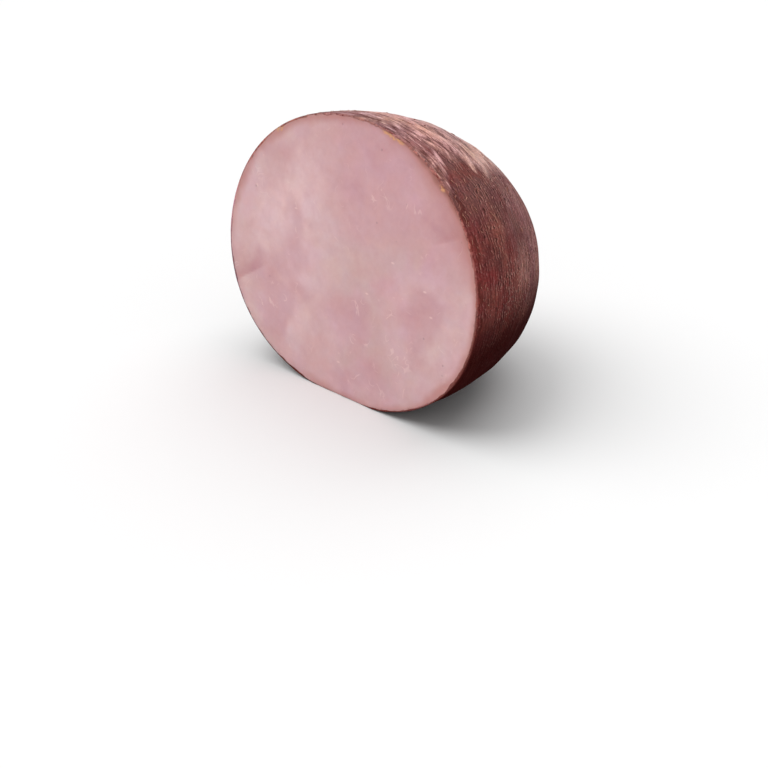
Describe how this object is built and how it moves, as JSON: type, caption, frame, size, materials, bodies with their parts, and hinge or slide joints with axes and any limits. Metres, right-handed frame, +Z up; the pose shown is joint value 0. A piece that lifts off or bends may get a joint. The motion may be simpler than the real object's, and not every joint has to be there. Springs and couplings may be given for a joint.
{
  "type": "glazed ham",
  "caption": "Cut half of a round boneless ham in a dark glazed rind, standing by its flat cut face, for food displays and table scenes.",
  "frame": {"origin": "On the surface that the ham rests on, under the middle of its bounding box.", "axes": "+Z is up. The cut face looks towards -Y, leaning back by 6.2 degrees, and the rounded end is towards +Y. +X runs across the cut face."},
  "size_m": [0.1994, 0.132, 0.17],
  "materials": {
    "glazed_rind": "Dark red-brown smoked and glazed rind with the fine imprint of a knitted net, softly moist, over a pale pink cured cut face."
  },
  "bodies": {
    "root": {"ham": "glazed_rind"}
  },
  "joints": []
}
